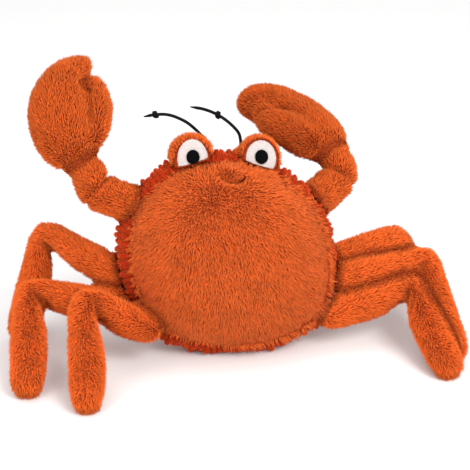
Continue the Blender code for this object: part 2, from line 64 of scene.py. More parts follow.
to_camera = Vector((math.sin(camera_azimuth) * math.cos(camera_elevation),
                    -math.cos(camera_azimuth) * math.cos(camera_elevation),
                    math.sin(camera_elevation)))
to_right = Vector((math.cos(camera_azimuth), math.sin(camera_azimuth), 0))
to_top = to_camera.cross(to_right)
camera_target = Vector((0, 0.017, 0.089)) + 0.0069 * to_right + 0.0139 * to_top

camera_data = bpy.data.cameras.new("photo_camera")
camera_data.sensor_width = 36
camera_data.lens = 36 * pixels_per_metre * camera_distance / frame_pixels
camera = bpy.data.objects.new("photo_camera", camera_data)
camera.location = camera_target + camera_distance * to_camera
camera.rotation_euler = to_camera.to_track_quat("Z", "Y").to_euler()
bpy.context.scene.collection.objects.link(camera)
bpy.context.scene.camera = camera
print("lens in mm:", round(camera_data.lens, 1))

# %% [markdown]
# ## Studio
# The photograph has a white ground and soft light from above and in front, a little stronger
# from the right. Large lamps make soft shadows, and the plain view transform keeps the orange
# of the cloth as bright as it is.

# %% Light the toy and lay the floor
def soft_lamp(name, place, aim, size, watts, colour):
    """A square lamp that faces a point."""
    data = bpy.data.lights.new(name, "AREA")
    data.size = size
    data.energy = watts
    data.color = colour
    lamp = bpy.data.objects.new(name, data)
    lamp.location = place
    lamp.rotation_euler = (Vector(place) - Vector(aim)).to_track_quat("Z", "Y").to_euler()
    bpy.context.scene.collection.objects.link(lamp)


soft_lamp("key_lamp", (0.75, -1.40, 1.35), (0, 0, 0.10), 0.9, 31.0, (1.0, 0.985, 0.96))
soft_lamp("top_lamp", (-0.10, 0.20, 1.30), (0, 0, 0.10), 0.8, 2.0, (1.0, 0.99, 0.98))
soft_lamp("left_lamp", (-1.25, -1.35, 0.50), (0, 0, 0.06), 1.1, 15.0, (1.0, 0.98, 0.96))

world = bpy.data.worlds.new("studio")
world.use_nodes = True
ground = world.node_tree.nodes["Background"]
ground.inputs["Color"].default_value = (1.0, 1.0, 1.0, 1)
ground.inputs["Strength"].default_value = 1.0
bpy.context.scene.world = world
bpy.context.scene.view_settings.view_transform = "Standard"

floor_mesh = bpy.data.meshes.new("floor")
floor_mesh.from_pydata([(-3, -3, 0), (3, -3, 0), (3, 3, 0), (-3, 3, 0)], [], [(0, 1, 2, 3)])
floor = bpy.data.objects.new("floor", floor_mesh)
bpy.context.scene.collection.objects.link(floor)
paper = bpy.data.materials.new("pale_floor")
paper.use_nodes = True
paper_shader = paper.node_tree.nodes["Principled BSDF"]
paper_shader.inputs["Base Color"].default_value = (0.86, 0.86, 0.86, 1)
paper_shader.inputs["Roughness"].default_value = 0.9
floor.data.materials.append(paper)
print("lamps:", len(bpy.data.lights))

# %% [markdown]
# ## Small helpers for materials
# A material is a Principled shader with a few nodes in front of it. These helpers add a node,
# find a socket, set a ramp, and lay a colour or a bump on the shader, so that each recipe below
# stays short.

# %% Helpers that build materials
def new_material(name):
    """A material with its node tree and its shader."""
    material = bpy.data.materials.new(name)
    material.use_nodes = True
    tree = material.node_tree
    return material, tree, tree.nodes["Principled BSDF"]


def socket_of(sockets, name):
    """The enabled socket of that name."""
    return [s for s in sockets if s.enabled and s.name == name][0]


def add_node(tree, kind, settings=None, values=None):
    """Add a node, set its options and the values of its unlinked sockets."""
    node = tree.nodes.new(kind)
    for option, value in (settings or {}).items():
        setattr(node, option, value)
    for name, value in (values or {}).items():
        socket_of(node.inputs, name).default_value = value
    return node


def set_ramp(ramp, stops):
    """Give a colour ramp its stops, each a place and a colour."""
    while len(ramp.elements) < len(stops):
        ramp.elements.new(0.5)
    for element, (place, colour) in zip(ramp.elements, stops):
        element.position = place
        element.color = (*colour, 1)


def noise_on_place(tree, scale, detail):
    """A noise that is fixed to the object."""
    place = add_node(tree, "ShaderNodeTexCoord")
    texture = add_node(tree, "ShaderNodeTexNoise", values={"Scale": scale, "Detail": detail})
    tree.links.new(place.outputs["Object"], texture.inputs["Vector"])
    return texture.outputs["Fac"]


def colour_by(tree, shader, value, stops):
    """Colour the shader by a value, through a ramp."""
    ramp = add_node(tree, "ShaderNodeValToRGB")
    set_ramp(ramp.color_ramp, stops)
    tree.links.new(value, ramp.inputs["Fac"])
    tree.links.new(ramp.outputs["Color"], shader.inputs["Base Color"])


def bump_by(tree, shader, value, strength, distance):
    """Roughen the shader's surface by a value."""
    bump = add_node(tree, "ShaderNodeBump", values={"Strength": strength, "Distance": distance})
    tree.links.new(value, bump.inputs["Height"])
    tree.links.new(bump.outputs["Normal"], shader.inputs["Normal"])

# %% [markdown]
# ## Plush
# Long-pile plush is dark and saturated between its fibres and pale at their tips, because the
# tips catch the light. Each tuft carries three numbers: `along`, from 0 at its root to 1 at its
# tip, `shade`, its own small change of tone, and `fold`, a painted shade, low in the folds,
# grooves and seams and near the floor, where the fibres stand close and little light gets in,
# and lowered over whole arms, claws and stalks. The tones of whole areas drift as well, since
# the pile is brushed one way here and another way there. The limbs are cut from the same plush,
# but their pile has a brighter, redder ramp, a painted light, and the band is cut from a redder
# plush.

# %% Materials of the pile and of the cloth that carries it
def plush_pile(name, root, middle, tip):
    """The pile's finish: a root-to-tip ramp, a brightness for each tuft, slow drifts, painted
    shade in folds and seams.
    """
    material, tree, shader = new_material(name)
    along = add_node(tree, "ShaderNodeAttribute", {"attribute_name": "along"})
    ramp = add_node(tree, "ShaderNodeValToRGB")
    set_ramp(ramp.color_ramp, [(0.0, root), (0.40, middle), (1.0, tip)])
    tree.links.new(along.outputs["Fac"], ramp.inputs["Fac"])
    shade = add_node(tree, "ShaderNodeAttribute", {"attribute_name": "shade"})
    both = add_node(tree, "ShaderNodeMath", {"operation": "ADD"})
    tree.links.new(shade.outputs["Fac"], both.inputs[0])
    tree.links.new(noise_on_place(tree, 45.0, 3.0), both.inputs[1])
    brightness = add_node(tree, "ShaderNodeMapRange",
                    values={"From Min": 0.3, "From Max": 1.7, "To Min": 0.73, "To Max": 1.28})
    tree.links.new(both.outputs[0], brightness.inputs["Value"])
    # Painted shade: where `fold` is low (folds, grooves, seams, near the floor) the colour is
    # darkened down to 0.42 of itself.
    fold = add_node(tree, "ShaderNodeAttribute", {"attribute_name": "fold"})
    depth = add_node(tree, "ShaderNodeMapRange", values={"To Min": 0.42, "To Max": 1.0})
    tree.links.new(fold.outputs["Fac"], depth.inputs["Value"])
    value = add_node(tree, "ShaderNodeMath", {"operation": "MULTIPLY"})
    tree.links.new(brightness.outputs["Result"], value.inputs[0])
    tree.links.new(depth.outputs["Result"], value.inputs[1])
    toned = add_node(tree, "ShaderNodeHueSaturation")
    tree.links.new(value.outputs[0], toned.inputs["Value"])
    tree.links.new(ramp.outputs["Color"], toned.inputs["Color"])
    tree.links.new(toned.outputs["Color"], shader.inputs["Base Color"])
    shader.inputs["Roughness"].default_value = 0.8
    shader.inputs["Specular IOR Level"].default_value = 0.08
    shader.inputs["Sheen Weight"].default_value = 0.06
    shader.inputs["Sheen Roughness"].default_value = 0.5
    shader.inputs["Sheen Tint"].default_value = (1.0, 0.55, 0.33, 1)
    return material


def mottled_cloth(name, dark, light, scale, bump_height):
    """A matt cloth, mottled at the size of its fibres."""
    material, tree, shader = new_material(name)
    mottle = noise_on_place(tree, scale, 3.0)
    colour_by(tree, shader, mottle, [(0.30, dark), (0.75, light)])
    bump_by(tree, shader, mottle, 0.6, bump_height)
    shader.inputs["Roughness"].default_value = 1.0
    shader.inputs["Specular IOR Level"].default_value = 0.03
    return material


orange_pile = plush_pile("orange_plush_pile", (0.42, 0.044, 0.008), (0.73, 0.118, 0.018),
                         (0.86, 0.205, 0.048))
# Painted shade: the backing cloth is far darker than the pile, so that the gaps between the tufts
# and the crevices between pieces look shaded.
orange_cloth = mottled_cloth("orange_plush_cloth", (0.20, 0.026, 0.006), (0.36, 0.050, 0.011),
                             700.0, 0.001)
# Painted light: the limbs are the same plush, and this brighter, redder copy of its ramp brightens
# them.
limb_pile = plush_pile("orange_limb_pile", (0.44, 0.042, 0.007), (0.80, 0.124, 0.016),
                       (0.91, 0.205, 0.040))
red_pile = plush_pile("red_orange_plush_pile", (0.38, 0.018, 0.004), (0.70, 0.062, 0.010),
                      (0.85, 0.125, 0.025))
# Painted shade: the band's backing cloth is darker than its pile, so that the gaps between the
# tufts look shaded.
red_cloth = mottled_cloth("red_orange_plush_cloth", (0.26, 0.014, 0.003), (0.46, 0.036, 0.008),
                          700.0, 0.001)
print("materials:", [material.name for material in bpy.data.materials])

# %% [markdown]
# ## From a solid to its backing cloth
# A solid of the frame is loose triangles with flat facets, and its surface is where the pile
# ends. A copy is welded, remeshed into small even squares and smoothed. Then it is drawn in by
# the height of the pile, but not where it meets another piece, so the seams stay closed, as on
# the real toy, where the cloth of two pieces is sewn edge to edge. A sole stays on the floor.

# %% Helpers that make the backing cloth
def link_mesh(name, mesh):
    """Put a mesh into the scene as an object at the origin."""
    item = bpy.data.objects.new(name, mesh)
    bpy.context.scene.collection.objects.link(item)
    return item


def applied(item):
    """Turn an object's modifiers into its mesh."""
    evaluated = item.evaluated_get(bpy.context.evaluated_depsgraph_get())
    mesh = bpy.data.meshes.new_from_object(evaluated)
    item.modifiers.clear()
    old = item.data
    item.data = mesh
    bpy.data.meshes.remove(old)
    return item


weld_distance = 0.00002
smoothing_rounds = 4
floor_clearance = 0.0002


def remeshed(name, node, voxel):
    """The node's form in small even squares, with its facets smoothed away."""
    bm = bmesh.new()
    bm.from_mesh(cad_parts[node].data)
    bmesh.ops.remove_doubles(bm, verts=bm.verts, dist=weld_distance)
    mesh = bpy.data.meshes.new(name)
    bm.to_mesh(mesh)
    bm.free()
    item = link_mesh(name, mesh)
    remesh = item.modifiers.new("even_squares", "REMESH")
    remesh.mode = "VOXEL"
    remesh.voxel_size = voxel
    smooth = item.modifiers.new("smooth", "SMOOTH")
    smooth.factor = 0.5
    smooth.iterations = smoothing_rounds
    return applied(item)


def corners_of(item):
    """Places and normals of a mesh's corners, as arrays."""
    count = len(item.data.vertices)
    places = np.zeros(3 * count)
    normals = np.zeros(3 * count)
    item.data.vertices.foreach_get("co", places)
    item.data.vertices.foreach_get("normal", normals)
    return places.reshape(-1, 3), normals.reshape(-1, 3)


def move_corners(item, places):
    """Give a mesh's corners new places, never below the floor."""
    places = np.array(places, np.float32)
    places[:, 2] = np.maximum(places[:, 2], floor_clearance)
    item.data.vertices.foreach_set("co", places.ravel())
    item.data.update()


def eased(values, low, high):
    """0 below low, 1 above high, and a smooth rise between."""
    share = np.clip((values - low) / (high - low), 0, 1)
    return share * share * (3 - 2 * share)


def nearest_on_solids(places, left_out):
    """The nearest spot on the solids whose names don't start with one left out."""
    bm = bmesh.new()
    for name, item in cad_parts.items():
        if not name.startswith(left_out):
            bm.from_mesh(item.data)
    tree = BVHTree.FromBMesh(bm)
    bm.free()
    return np.array([tree.find_nearest(Vector(place))[0] for place in places])


def distances_to_solids(places, left_out):
    """How far each place is from those solids."""
    return np.linalg.norm(nearest_on_solids(places, left_out) - places, axis=1)

# %% [markdown]
# ## Folds and stuffing
# Where a stuffed limb bends, the cloth on the inner side of the bend crowds into a fold, and
# where a thread pulls two layers together it leaves a groove. Both are pushes along the cloth's
# normal that fade out with the distance from a line. The stuffing is never quite even, so a slow
# noise moves the cloth in and out by less than a millimetre.

# %% Helpers that shape the cloth
def distances_to_line(places, line):
    """Distance of each place from a line of straight stretches."""
    points = np.array(line, float)
    best = np.full(len(places), 1.0)
    for start, end in zip(points[:-1], points[1:]):
        span = end - start
        share = np.clip((places - start) @ span / (span @ span), 0, 1)
        away = np.linalg.norm(places - (start + share[:, None] * span), axis=1)
        best = np.minimum(best, away)
    return best


def groove(line, depth, width):
    """A groove along a line; a negative depth makes a soft ridge."""
    def push(places):
        return -depth * np.exp(-(distances_to_line(places, line) / width) ** 2)
    return push


def fold_at(joint, before, after, depth, width):
    """A fold across the inner side of a bend at a joint between two points of a limb."""
    joint, before, after = (np.array(point, float) for point in (joint, before, after))
    first = (joint - before) / np.linalg.norm(joint - before)
    second = (after - joint) / np.linalg.norm(after - joint)
    along = (first + second) / np.linalg.norm(first + second)
    inner = (second - first) / np.linalg.norm(second - first)

    def push(places):
        away = places - joint
        inside = eased(away @ inner, -0.010, 0.012)
        near = np.exp(-(np.linalg.norm(away, axis=1) / 0.035) ** 2)
        wander = np.array([0.003 * noise.noise(Vector(place) * 60) for place in places])
        main = np.exp(-((away @ along + wander) / width) ** 2)
        side = 0.45 * np.exp(-((np.abs(away @ along + wander) - 2.6 * width) / width) ** 2)
        return -depth * inside * near * (main + side)
    return push


def pinch_at(place, along, depth, width):
    """A pinch all round a limb, as at a wrist."""
    middle = np.array(place, float)
    axis = np.array(along, float) / np.linalg.norm(along)

    def push(places):
        away = places - middle
        near = np.exp(-(np.linalg.norm(away, axis=1) / 0.04) ** 4)
        return -depth * near * np.exp(-((away @ axis) / width) ** 2)
    return push


def stuffing(places, seed):
    """Slow lumps of the stuffing, one number for each place."""
    shift = Vector((7.3 * seed, 0, 0))
    return np.array([noise.noise(Vector(place) * 38 + shift) for place in places])

# %% [markdown]
# ## Air in the cloth
# A padded piece bulges between its seams. Blender's cloth simulation gives that bulge: the
# cloth is blown up by a light pressure without gravity for twenty frames, and each corner may
# only move as far as its cap, which is nothing at a seam and 1.6 millimetres in the open.

# %% Helper that blows up a cloth
air_pressure = 4.0
air_frames = 20


def puffed(item, caps):
    """Simulate a light pressure in a closed cloth; gives its largest move in millimetres."""
    start, _ = corners_of(item)
    modifier = item.modifiers.new("air", "CLOTH")
    modifier.settings.quality = 4
    modifier.settings.use_pressure = True
    modifier.settings.uniform_pressure_force = air_pressure
    modifier.settings.effector_weights.gravity = 0.0
    modifier.point_cache.frame_start = 1
    modifier.point_cache.frame_end = air_frames
    for number in range(1, air_frames + 1):
        bpy.context.scene.frame_set(number)
    evaluated = item.evaluated_get(bpy.context.evaluated_depsgraph_get())
    mesh = bpy.data.meshes.new_from_object(evaluated)
    end = np.zeros(3 * len(mesh.vertices))
    mesh.vertices.foreach_get("co", end)
    item.modifiers.remove(modifier)
    bpy.data.meshes.remove(mesh)
    bpy.context.scene.frame_set(1)
    move = end.reshape(-1, 3) - start
    length = np.linalg.norm(move, axis=1)
    share = np.minimum(1.0, caps / np.maximum(length, 1e-9))
    move_corners(item, start + move * share[:, None])
    return round(1000 * float(np.max(length * share)), 1)

# %% [markdown]
# ## Which way the pile lies
# On a real toy each pattern piece is cut so that its pile runs one way, and handling brushes it
# further. Here each limb has a route, from where it is sewn on to its tip, and its pile follows
# that. On the front panel the pile hangs down in the middle and turns outwards at the edge.

# %% Helpers that comb the pile
def comb_along(route):
    """Combs along a route: each place takes the direction of the stretches near it."""
    points = np.array(route, float)
    starts = points[:-1]
    spans = points[1:] - starts
    lengths = np.linalg.norm(spans, axis=1)

    def comb(places):
        total = np.zeros_like(places)
        for start, span, length in zip(starts, spans, lengths):
            share = np.clip((places - start) @ span / length ** 2, 0, 1)
            away = np.linalg.norm(places - (start + share[:, None] * span), axis=1)
            total += span / length / (away[:, None] ** 4 + 1e-8)
        return total / np.linalg.norm(total, axis=1)[:, None]
    return comb


def comb_panel(middle, pull):
    """Combs by an even pull in the middle of a panel, and outwards near its edge."""
    def comb(places):
        away = places - np.array(middle)
        reach = np.hypot(away[:, 0], away[:, 2])
        outwards = away / np.linalg.norm(away, axis=1)[:, None]
        outwards *= (1.0, 1.0, 0.4)
        return outwards * eased(reach, 0.035, 0.085)[:, None] + np.array(pull)
    return comb


def store(item, name, values):
    """Keep one number or one direction for each corner of a mesh."""
    kind = "FLOAT_VECTOR" if values.ndim == 2 else "FLOAT"
    attribute = item.data.attributes.new(name, kind, "POINT")
    field = "vector" if values.ndim == 2 else "value"
    attribute.data.foreach_set(field, values.astype(np.float32).ravel())


def comb_cloth(cloth, comb, cover, tall, fold):
    """Store the comb, laid flat on the cloth, with the pile's cover, height and folds."""
    places, normals = corners_of(cloth)
    lay = comb(places)
    lay -= normals * np.sum(lay * normals, axis=1)[:, None]
    length = np.linalg.norm(lay, axis=1)[:, None]
    store(cloth, "comb", lay / np.maximum(length, 1.0))
    store(cloth, "cover", cover)
    store(cloth, "tall", tall)
    store(cloth, "fold", fold)

# %% [markdown]
# ## The pile, by Geometry Nodes
# Thousands of tufts that follow a surface are work for Geometry Nodes. Points are strewn evenly
# over the cloth, each gets a slender four-faced spike, and its direction is mixed from the
# cloth's normal, the comb, a slow noise that gathers neighbours into locks, and a little
# chance. Four faces a tuft is enough, as one tuft is about a pixel wide in the picture.

# %% Build the node tree of the pile
def pile_tree():
    """A node tree that grows a pile out of a combed cloth."""
    tree = bpy.data.node_groups.new("grow_pile", "GeometryNodeTree")
    sockets = tree.interface
    sockets.new_socket("Cloth", in_out="INPUT", socket_type="NodeSocketGeometry")
    for name, start in (("Spacing", 0.0012), ("Length", 0.008), ("Width", 0.0007),
                        ("Stand", 0.6), ("Locks", 0.5), ("Lock Scale", 90.0), ("Chance", 0.25)):
        socket = sockets.new_socket(name, in_out="INPUT", socket_type="NodeSocketFloat")
        socket.default_value = start
    sockets.new_socket("Seed", in_out="INPUT", socket_type="NodeSocketInt")
    sockets.new_socket("Finish", in_out="INPUT", socket_type="NodeSocketMaterial")
    sockets.new_socket("Pile", in_out="OUTPUT", socket_type="NodeSocketGeometry")
    given = tree.nodes.new("NodeGroupInput").outputs
    result = tree.nodes.new("NodeGroupOutput").inputs
    link = tree.links.new

    def feed(target, value):
        if isinstance(value, bpy.types.NodeSocket):
            link(value, target)
        else:
            target.default_value = value

    def join(operation, first, second):
        node = add_node(tree, "ShaderNodeVectorMath", {"operation": operation})
        feed(node.inputs[0], first)
        feed(node.inputs["Scale"] if operation == "SCALE" else node.inputs[1], second)
        return socket_of(node.outputs, "Vector")

    def multiply(first, second):
        node = add_node(tree, "ShaderNodeMath", {"operation": "MULTIPLY"})
        feed(node.inputs[0], first)
        feed(node.inputs[1], second)
        return node.outputs[0]

    def named(kind, name):
        node = add_node(tree, "GeometryNodeInputNamedAttribute", {"data_type": kind},
                        {"Name": name})
        return socket_of(node.outputs, "Attribute")

    def chance(kind, low, high, offset):
        node = add_node(tree, "FunctionNodeRandomValue", {"data_type": kind},
                        {"Min": low, "Max": high})
        add = add_node(tree, "ShaderNodeMath", {"operation": "ADD"})
        link(given["Seed"], add.inputs[0])
        add.inputs[1].default_value = offset
        link(add.outputs[0], socket_of(node.inputs, "Seed"))
        return socket_of(node.outputs, "Value")

    strewn = add_node(tree, "GeometryNodeDistributePointsOnFaces",
                      {"distribute_method": "POISSON"}, {"Density Max": 3.0e6})
    link(given["Cloth"], strewn.inputs["Mesh"])
    link(given["Spacing"], socket_of(strewn.inputs, "Distance Min"))
    link(named("FLOAT", "cover"), socket_of(strewn.inputs, "Density Factor"))
    link(given["Seed"], strewn.inputs["Seed"])

    lock_noise = add_node(tree, "ShaderNodeTexNoise", values={"Detail": 2.0})
    link(given["Lock Scale"], lock_noise.inputs["Scale"])
    lock_lean = join("SUBTRACT", lock_noise.outputs["Color"], (0.5, 0.5, 0.5))
    lean = join("SCALE", strewn.outputs["Normal"], given["Stand"])
    lean = join("ADD", lean, named("FLOAT_VECTOR", "comb"))
    lean = join("ADD", lean, join("SCALE", lock_lean, given["Locks"]))
    stray = chance("FLOAT_VECTOR", (-1, -1, -1), (1, 1, 1), 1)
    lean = join("ADD", lean, join("SCALE", stray, given["Chance"]))

    aim = add_node(tree, "FunctionNodeAlignRotationToVector", {"axis": "Z"})
    link(lean, aim.inputs["Vector"])
    spin = add_node(tree, "FunctionNodeAxisAngleToRotation")
    spin.inputs["Axis"].default_value = (0, 0, 1)
    link(chance("FLOAT", 0.0, 2 * math.pi, 2), spin.inputs["Angle"])
    turn = add_node(tree, "FunctionNodeRotateRotation", {"rotation_space": "LOCAL"})
    link(aim.outputs["Rotation"], turn.inputs["Rotation"])
    link(spin.outputs["Rotation"], turn.inputs["Rotate By"])

    spike = add_node(tree, "GeometryNodeMeshCone", {"fill_type": "NGON"},
                     {"Vertices": 3, "Side Segments": 1, "Fill Segments": 1, "Radius Top": 0.0,
                      "Radius Bottom": 1.0, "Depth": 1.0})
    height = add_node(tree, "ShaderNodeSeparateXYZ")
    link(add_node(tree, "GeometryNodeInputPosition").outputs[0], height.inputs[0])
    tagged = add_node(tree, "GeometryNodeStoreNamedAttribute",
                      {"data_type": "FLOAT", "domain": "POINT"}, {"Name": "along"})
    link(spike.outputs["Mesh"], tagged.inputs["Geometry"])
    link(height.outputs["Z"], socket_of(tagged.inputs, "Value"))

    long = multiply(multiply(given["Length"], named("FLOAT", "tall")),
                    chance("FLOAT", 0.75, 1.15, 3))
    size = add_node(tree, "ShaderNodeCombineXYZ")
    link(given["Width"], size.inputs["X"])
    link(given["Width"], size.inputs["Y"])
    link(long, size.inputs["Z"])
    planted = add_node(tree, "GeometryNodeInstanceOnPoints")
    link(strewn.outputs["Points"], planted.inputs["Points"])
    link(tagged.outputs["Geometry"], planted.inputs["Instance"])
    link(turn.outputs["Rotation"], planted.inputs["Rotation"])
    link(size.outputs["Vector"], planted.inputs["Scale"])
    shaded = add_node(tree, "GeometryNodeStoreNamedAttribute",
                      {"data_type": "FLOAT", "domain": "INSTANCE"}, {"Name": "shade"})
    link(planted.outputs["Instances"], shaded.inputs["Geometry"])
    link(chance("FLOAT", 0.0, 1.0, 4), socket_of(shaded.inputs, "Value"))

    real = add_node(tree, "GeometryNodeRealizeInstances")
    link(shaded.outputs["Geometry"], real.inputs["Geometry"])
    soft = add_node(tree, "GeometryNodeSetShadeSmooth")
    link(real.outputs["Geometry"], soft.inputs["Geometry"])
    finish = add_node(tree, "GeometryNodeSetMaterial")
    link(soft.outputs["Geometry"], finish.inputs["Geometry"])
    link(given["Finish"], finish.inputs["Material"])
    link(finish.outputs["Geometry"], result["Pile"])
    return tree


grow_pile = pile_tree()
print("pile tree:", len(grow_pile.nodes), "nodes")

# %% Grow a pile on a cloth
pile_triangles = []


def grown(name, cloth, sizes, seed, finish):
    """A plain mesh of tufts on a cloth; no tuft goes through the floor."""
    modifier = cloth.modifiers.new("pile", "NODES")
    modifier.node_group = grow_pile
    values = dict(sizes, Seed=seed, Finish=finish)
    for socket in grow_pile.interface.items_tree:
        if socket.in_out == "INPUT" and socket.name in values:
            modifier[socket.identifier] = values[socket.name]
    cloth.data.update()
    evaluated = cloth.evaluated_get(bpy.context.evaluated_depsgraph_get())
    mesh = bpy.data.meshes.new_from_object(evaluated)
    cloth.modifiers.remove(modifier)
    pile = link_mesh(name, mesh)
    move_corners(pile, corners_of(pile)[0])
    pile_triangles.append(sum(len(face.vertices) - 2 for face in mesh.polygons))
    print(name, "triangles:", pile_triangles[-1])
    return pile

# %% [markdown]
# ## Panels and limbs
# The same steps dress each of the plush pieces: the backing cloth from the solid, its folds, the
# air, the comb, and the pile. The values that differ are the route of the comb, the folds and
# the size of the squares. A cloth carries how tall its pile is and how densely it is covered:
# nothing grows where two pieces press together, and the pile is short beside a seam and in a
# fold. A panel's cloth is drawn in right up to the band, and only its hidden side stays.

# %% Values for the pile and the seams
pile_height = 0.0034
puff_room = 0.0014
lump_height = 0.0009
orange_sizes = {"Spacing": 0.00082, "Length": 0.0053, "Width": 0.00064, "Stand": 0.95,
                "Locks": 0.60, "Lock Scale": 120.0, "Chance": 0.34}
resting_on_plush = ("pupil", "smile", "feeler")
panel_axes = {"body_front": (0, -0.951, 0.309), "body_back": (0, 0.951, -0.309)}
pile_from = (0.0003, 0.0012)
free_from = (0.0006, 0.0060)
seam_height = 0.60
rim_extra_height = 0.9
fold_shortening = 0.35


def hand_over(piece, nodes=()):
    """Let a finished piece ride, and hide the solids that it stands for."""
    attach(piece, "root")
    if nodes:
        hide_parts(*nodes)


def sewn_on(places, spots):
    """Pull the rim of a limb's end onto the cloth that it is sewn to."""
    away = np.linalg.norm(spots - places, axis=1)
    share = (1 - eased(away, 0.0030, 0.0065)) * np.clip(1 - 0.0003 / np.maximum(away, 1e-6), 0, 1)
    return places + (spots - places) * share[:, None]


def room_round(node, places, normals):
    """How free each place of a cloth is, how much pile covers it, and where a panel's rim is."""
    others = (node,) + resting_on_plush
    gap = distances_to_solids(places, others)
    if not node.startswith("body"):
        cover = eased(np.minimum(gap, places[:, 2]), *pile_from)
        return eased(gap, *free_from), cover, np.zeros(len(places))
    inner_side = (normals @ np.array(panel_axes[node])) < -0.6
    limbs = distances_to_solids(places, ("body", "gathered", "eye") + resting_on_plush)
    cover = np.where(inner_side, 0.0, eased(np.minimum(limbs, places[:, 2]), *pile_from))
    rim = 1 - eased(gap, 0.001, 0.012)
    return eased(np.where(inner_side, 0.0, limbs), *free_from), cover, rim

# %% Dress one plush piece
def dress(node, voxel, comb, seed, pushes=(), sizes=orange_sizes, height=pile_height,
          no_fold=(), brightness=1.0):
    """Backing cloth and pile for one plush piece."""
    cloth = remeshed(node + "_cloth", node, voxel)
    places, normals = corners_of(cloth)
    others = (node,) + resting_on_plush
    if not node.startswith("body"):
        places = sewn_on(places, nearest_on_solids(places, others))
    free, cover, rim = room_round(node, places, normals)
    off_floor = eased(places[:, 2], 0.0, 0.006)

    push = free * sum((make(places) for make in pushes), np.zeros(len(places)))
    lumps = lump_height * free * stuffing(places, seed)
    moves = normals * (push + lumps - (height + puff_room) * free)[:, None]
    moves[:, 2] *= off_floor
    move_corners(cloth, places + moves)
    moved = 0.0
    moved = puffed(cloth, 1.15 * puff_room * free * off_floor)

    # Painted shade: `fold` darkens the pile beside seams, in folds and grooves, more near the
    # floor, and over a whole piece by the factor given for it.
    near = distances_to_solids(places, others + tuple(no_fold))
    fold = brightness * eased(near, 0.0002, 0.0060) * eased(push, -0.0075, -0.0004)
    fold *= 0.55 + 0.45 * eased(places[:, 2], 0.0, 0.012)
    tall = seam_height + (1 - seam_height) * eased(near, 0.0, 0.008)
    tall += rim_extra_height * rim * eased(places[:, 0], -0.03, 0.04)
    tall *= 1 - fold_shortening * eased(-push, 0.0008, 0.0024)
    comb_cloth(cloth, comb, cover, tall, fold)
    cloth.data.shade_smooth()
    cloth.data.materials.clear()
    cloth.data.materials.append(orange_cloth)
    finish = orange_pile if node.startswith("body") else limb_pile
    pile = grown(node + "_pile", cloth, sizes, seed, finish)
    hand_over(cloth, [node])
    hand_over(pile)
    print(node, "corners:", len(places), "air moved it by mm:", moved)

# %% [markdown]
# ## The two panels
# The front panel is one dome of plush. Short stitches of dark thread pull a smile into its upper
# part: a groove with a soft lip above it. The back panel is plain. The pile of the front panel
# lies flatter than the rest, and towards the right it covers the band.

# %% Dress the panels
smile_line = [(-0.0110, 0.0085, 0.1728), (-0.0065, 0.0002, 0.1681), (-0.0015, -0.0034, 0.1658),
              (0.0045, -0.0049, 0.1645), (0.0100, -0.0037, 0.1647), (0.0140, 0.0004, 0.1665)]
smile_lip = [(-0.0030, 0.0060, 0.1725), (0.0060, 0.0050, 0.1722)]
meets_panel = ("gathered", "eye", "body")
dress("body_front", voxel=0.0030, seed=11,
      comb=comb_panel(middle=(0.0, -0.030, 0.100), pull=(0.10, 0, -0.85)),
      pushes=[groove(smile_line, depth=0.0034, width=0.0032),
              groove(smile_lip, depth=-0.0034, width=0.0065)],
      sizes=dict(orange_sizes, Stand=0.72), no_fold=meets_panel)
dress("body_back", voxel=0.0036, seed=12,
      comb=comb_panel(middle=(0.0, 0.050, 0.080), pull=(0, 0, -0.70)), no_fold=meets_panel)

# %% [markdown]
# ## Legs
# Each leg is one stuffed tube of plush that folds at the knee. Its route runs from the hip over
# the knee to the foot; the pile follows it, and the fold sits on the inner side of the knee.

# %% Dress the legs
leg_routes = {
    "leg_front_left": [(-0.0745, -0.030, 0.035), (-0.132, -0.032, 0.063), (-0.136, -0.105, 0.013)],
    "leg_middle_left": [(-0.094, 0.000, 0.045), (-0.181, 0.003, 0.060), (-0.186, -0.072, 0.013)],
    "leg_rear_left": [(-0.093, 0.016, 0.065), (-0.165, 0.057, 0.094), (-0.192, 0.034, 0.013)],
    "leg_front_right": [(0.088, -0.017, 0.031), (0.168, -0.010, 0.049), (0.183, -0.090, 0.013)],
    "leg_middle_right": [(0.098, 0.004, 0.058), (0.186, 0.009, 0.067), (0.196, -0.061, 0.013)],
    "leg_rear_right": [(0.081, 0.031, 0.061), (0.163, 0.031, 0.082), (0.199, 0.074, 0.013)],
}
for number, (node, (hip, knee, foot)) in enumerate(leg_routes.items()):
    dress(node, voxel=0.0028, seed=21 + number, comb=comb_along([hip, knee, foot]),
          pushes=[fold_at(knee, hip, foot, depth=0.0060, width=0.0034)], height=0.0028)

# %% [markdown]
# ## Arms
# An arm bends at the elbow, where a fold runs all round it between two soft bulges, and it is
# pinched at the wrist, where the claw is sewn on.

# %% Dress the arms
arm_routes = {
    "arm_left": [(-0.068, 0.027, 0.125), (-0.117, 0.030, 0.149), (-0.129, 0.037, 0.172)],
    "arm_right": [(0.070, 0.038, 0.116), (0.112, 0.055, 0.142), (0.1115, 0.064, 0.163)],
}
# Painted shade: the arms' pile is darkened as a whole by the factor given last.
for number, (node, (shoulder, elbow, wrist)) in enumerate(arm_routes.items()):
    forearm = np.array(wrist) - np.array(elbow)
    whole_arm = np.array(wrist) - np.array(shoulder)
    dress(node, voxel=0.0028, seed=31 + number,
          comb=comb_along([shoulder, elbow, wrist]),
          pushes=[fold_at(elbow, shoulder, wrist, depth=0.0060, width=0.0034),
                  pinch_at(elbow, whole_arm, depth=0.0040, width=0.0036),
                  pinch_at(elbow, whole_arm, depth=-0.0030, width=0.0160),
                  pinch_at(wrist, forearm, depth=0.0018, width=0.0050)],
          height=0.0028, brightness=0.76)

# %% [markdown]
# ## Claws
# A claw is a mitten: a long finger and a shorter thumb. The valley between them is deepest at the
# notch and fades along the claw, and the stuffing fills the thumb out to its rim.

